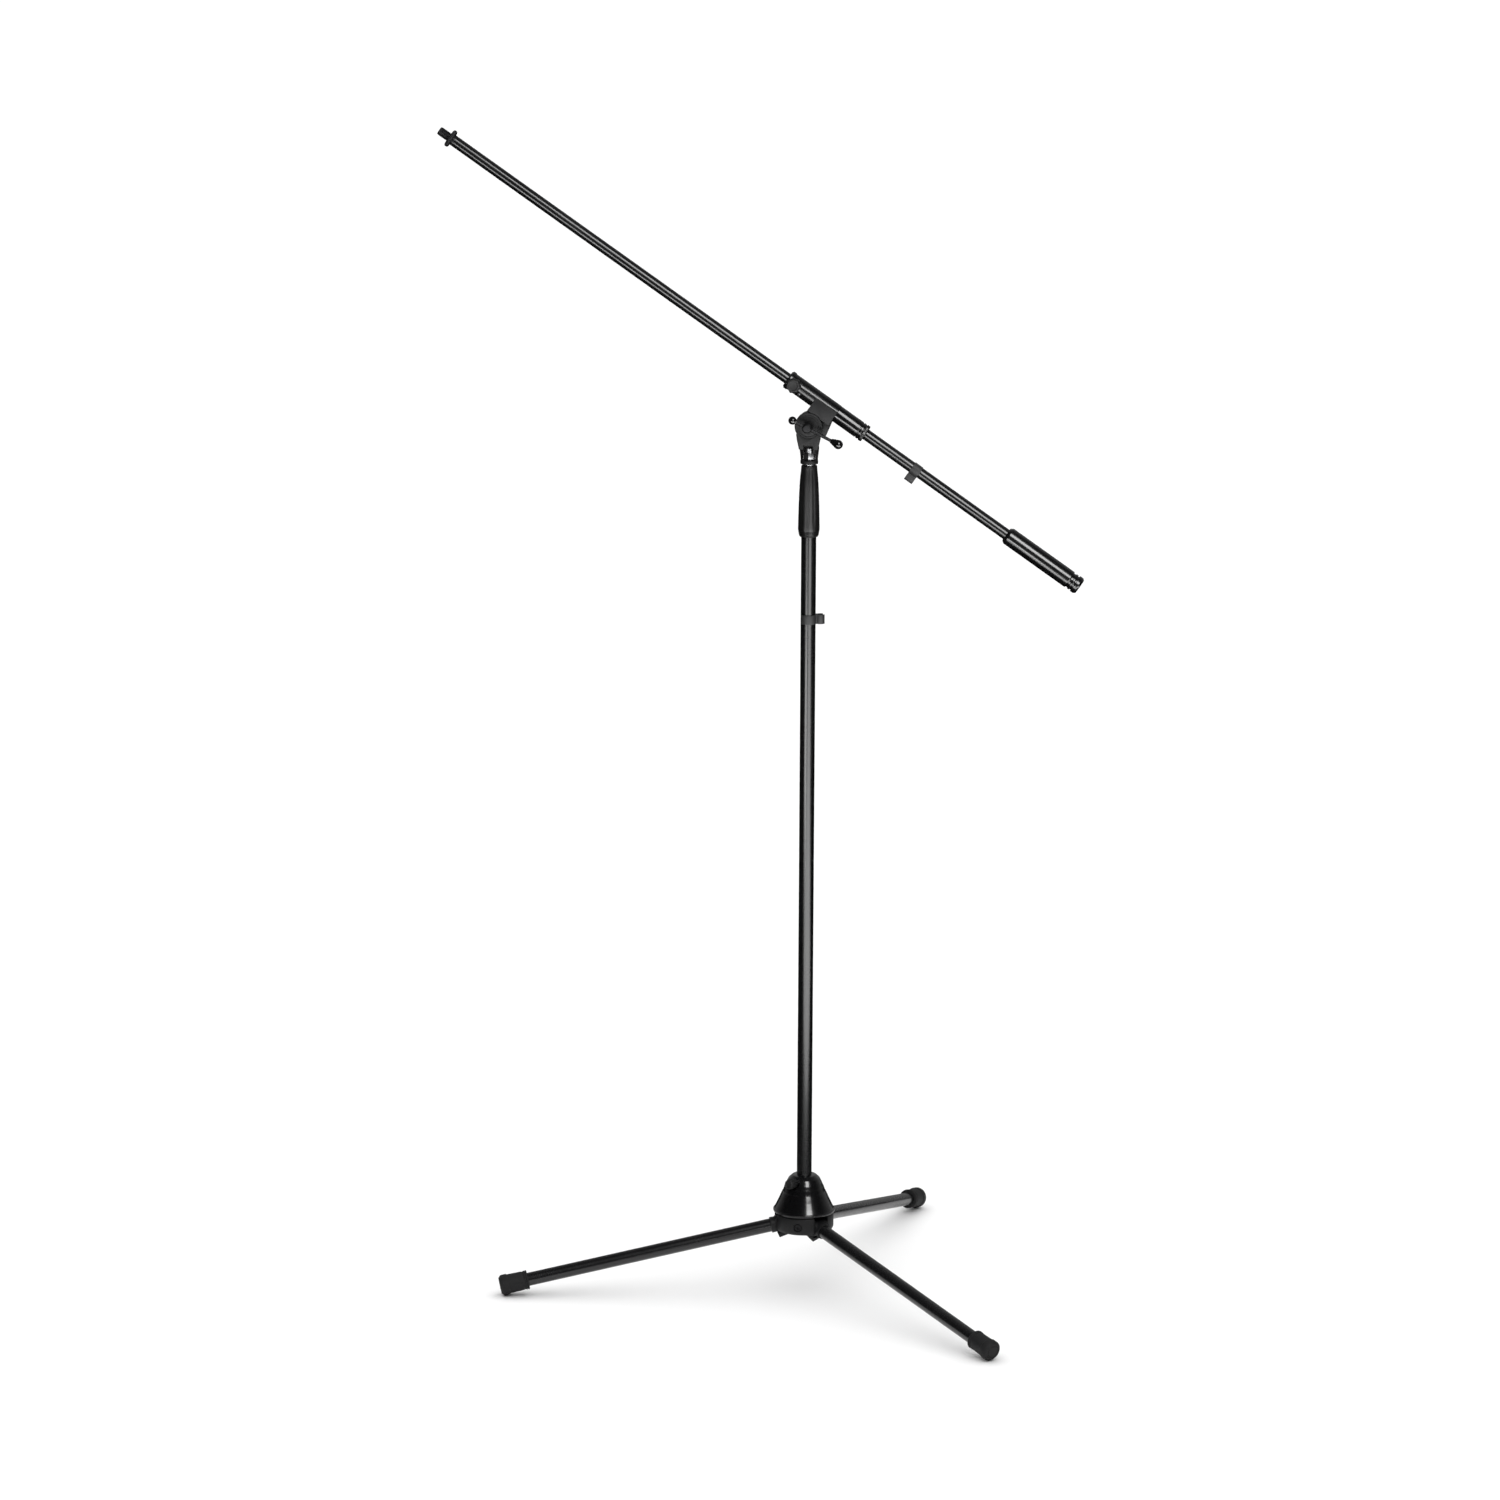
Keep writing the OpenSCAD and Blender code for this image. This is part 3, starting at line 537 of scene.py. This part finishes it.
REFINED = {
    "leg_hub": .7, "hub_screw": .15, "leg_knuckle_1": .4, "leg_knuckle_2": .4,
    "leg_knuckle_3": .4, "clutch_base": .25, "stud_nut": .4, "swivel_yoke": .5,
    "boom_block": .4, "front_sleeve": .3, "clamp_nut": .4, "mast_clip": .25,
    "boom_clip": .25, "bell_screw": .2,
}

made = {}
for builder in (make_bell, make_bell_knob, make_grip, make_screw_head, make_boom_knob,
                make_rear_sleeve, make_tip_stud, make_lock_nut, make_counterweight,
                make_weight_cap):
    piece = builder()
    made[piece.name] = piece
for leg in (1, 2, 3):
    piece = make_foot(leg)
    made[piece.name] = piece
for node, radius, place, neck, tail, turned in (
        ("bar_ball", 4.3, BAR_SHIFT - BAR_HALF, 2.3, .4, 145),
        ("bar_pear", 4.9, BAR_SHIFT + BAR_HALF, 2.9, 3.9, 120)):
    piece = make_ball(node, radius, place, neck, tail, turned)
    made[piece.name] = piece
for node, width in REFINED.items():
    piece = refined(node, width)
    made[piece.name] = piece
for piece in made.values():
    dress(piece, piece["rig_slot"])
for name, piece in frame["nodes"].items():
    if not piece.hide_render:
        dress(piece, SLOT_OF[name])


# --- floor, light and camera ---------------------------------------------------------------

PAPER_HALF = 40
PAPER = (.93, .93, .93)
PAPER_DARK = (.925, .925, .925)
PAPER_LIGHT = (.935, .935, .935)
PAPER_NEAR = 0.1          # reflections see all of the paper up to this distance
PAPER_FAR = 0.45          # and none of it from here on
SKY = 3.4
SKY_SPREAD = math.radians(120)
ROOM_FRONT = 0.015
ROOM_BACK = 0.3
ROOM_SEEN = 1.05
LOW = 0.02                # height of the two boxes that lie on the floor
STRIP_AZIMUTH = math.radians(30)
STRIP_REACH = 3.0
CAMERA_AZIMUTH = 7.75     # angles of the camera are in degrees
CAMERA_AIM_TURN = 0.427
CAMERA_REACH = 8.0
CAMERA_HEIGHT = 2.486
CAMERA_PITCH = 13.38
CAMERA_ROLL = 0.31
CAMERA_LENS = 189.4
SENSOR = 36


def make_floor():
    """White paper. Reflections see it only close by, so that tall parts stay dark below."""
    mesh = bpy.data.meshes.new("floor")
    corners = [(-1, -1), (1, -1), (1, 1), (-1, 1)]
    mesh.from_pydata([(PAPER_HALF * x, PAPER_HALF * y, 0) for x, y in corners], [],
                     [(0, 1, 2, 3)])
    floor = bpy.data.objects.new("floor", mesh)
    bpy.context.scene.collection.objects.link(floor)
    paint, tree, shader = node_material("floor_paper", PAPER, .9)
    shader.inputs["Specular IOR Level"].default_value = 0.1
    vary_colour(tree, shader, ramp(tree, noise(tree, 3, 3), 0, 1), PAPER_DARK, PAPER_LIGHT)
    path = add(tree, "ShaderNodeLightPath")
    far = ramp(tree, path.outputs["Ray Length"], 0.0, 1.0, PAPER_NEAR, PAPER_FAR)
    hidden = add(tree, "ShaderNodeMath", operation="MULTIPLY")
    tree.links.new(path.outputs["Is Glossy Ray"], hidden.inputs[0])
    tree.links.new(far, hidden.inputs[1])
    mixed = add(tree, "ShaderNodeMixShader")
    black = add(tree, "ShaderNodeBsdfDiffuse", Color=(0, 0, 0, 1))
    tree.links.new(hidden.outputs[0], mixed.inputs[0])
    tree.links.new(shader.outputs[0], mixed.inputs[1])
    tree.links.new(black.outputs[0], mixed.inputs[2])
    tree.links.new(mixed.outputs[0], tree.nodes["Material Output"].inputs["Surface"])
    mesh.materials.append(paint)


def put_lamp(lamp, place, target):
    lamp.location = place
    lamp.rotation_euler = (Vector(target) - Vector(place)).to_track_quat("-Z", "Y").to_euler()
    bpy.context.scene.collection.objects.link(lamp)


def soft_box(name, place, target, size, power):
    """A box that only makes highlights: the sky alone lights the paper and the paint."""
    data = bpy.data.lights.new(name, "AREA")
    data.shape = "RECTANGLE"
    data.size, data.size_y = size
    data.energy = power
    lamp = bpy.data.objects.new(name, data)
    lamp.visible_camera = False
    lamp.visible_diffuse = False
    put_lamp(lamp, place, target)
    return lamp


def sky_light():
    """Wide soft light from straight above, which also turns the floor white."""
    data = bpy.data.lights.new("sky", "SUN")
    data.energy = SKY
    data.angle = SKY_SPREAD
    lamp = bpy.data.objects.new("sky", data)
    lamp.visible_glossy = False
    put_lamp(lamp, (0, 0, 5), (0, 0, 0))


def make_room():
    """White where the camera looks; for everything else dark in front and bright behind."""
    world = bpy.data.worlds.new("studio")
    world.use_nodes = True
    tree = world.node_tree
    backdrop = tree.nodes["Background"]
    backdrop.inputs["Color"].default_value = (1, 1, 1, 1)
    parts = add(tree, "ShaderNodeSeparateXYZ")
    tree.links.new(add(tree, "ShaderNodeTexCoord").outputs["Generated"], parts.inputs[0])
    depth = ramp(tree, parts.outputs["Y"], ROOM_FRONT, ROOM_BACK, 0.0, 0.8)
    seen = add(tree, "ShaderNodeMix", data_type="FLOAT")
    seen.inputs[3].default_value = ROOM_SEEN
    tree.links.new(depth, seen.inputs[2])
    tree.links.new(add(tree, "ShaderNodeLightPath").outputs["Is Camera Ray"], seen.inputs[0])
    tree.links.new(seen.outputs[0], backdrop.inputs["Strength"])
    bpy.context.scene.world = world


def make_light():
    """A broad box at the front right for the main highlights, two boxes on the floor for the
    lines along the tubes, and a soft sky."""
    make_room()
    sky_light()
    soft_box("key", place=(1.5, -2.46, 2.9), target=(0, 0, .2), size=(1.3, 2.0), power=80)
    soft_box("low_left", place=(-.8, -2.4, LOW), target=(-.8, -2.4, 1), size=(1.3, 1.3),
             power=55)
    strip = soft_box("strip", place=(0, 0, LOW), target=(0, 0, 1), size=(2.0, 4.6), power=150)
    strip.location = (STRIP_REACH * math.sin(STRIP_AZIMUTH),
                      -STRIP_REACH * math.cos(STRIP_AZIMUTH), LOW)
    strip.rotation_euler = (math.pi, 0, STRIP_AZIMUTH)
    bpy.context.scene.view_settings.view_transform = "Standard"


def make_camera():
    data = bpy.data.cameras.new("camera")
    data.sensor_width = SENSOR
    data.lens = CAMERA_LENS
    data.clip_end = 200
    camera = bpy.data.objects.new("camera", data)
    around = math.radians(CAMERA_AZIMUTH)
    camera.matrix_world = (
        Matrix.Translation((CAMERA_REACH * math.sin(around), -CAMERA_REACH * math.cos(around),
                            CAMERA_HEIGHT))
        @ Matrix.Rotation(math.radians(CAMERA_AZIMUTH + CAMERA_AIM_TURN), 4, "Z")
        @ Matrix.Rotation(math.radians(90 - CAMERA_PITCH), 4, "X")
        @ Matrix.Rotation(math.radians(CAMERA_ROLL), 4, "Z"))
    bpy.context.scene.collection.objects.link(camera)
    bpy.context.scene.camera = camera


make_floor()
make_light()
make_camera()
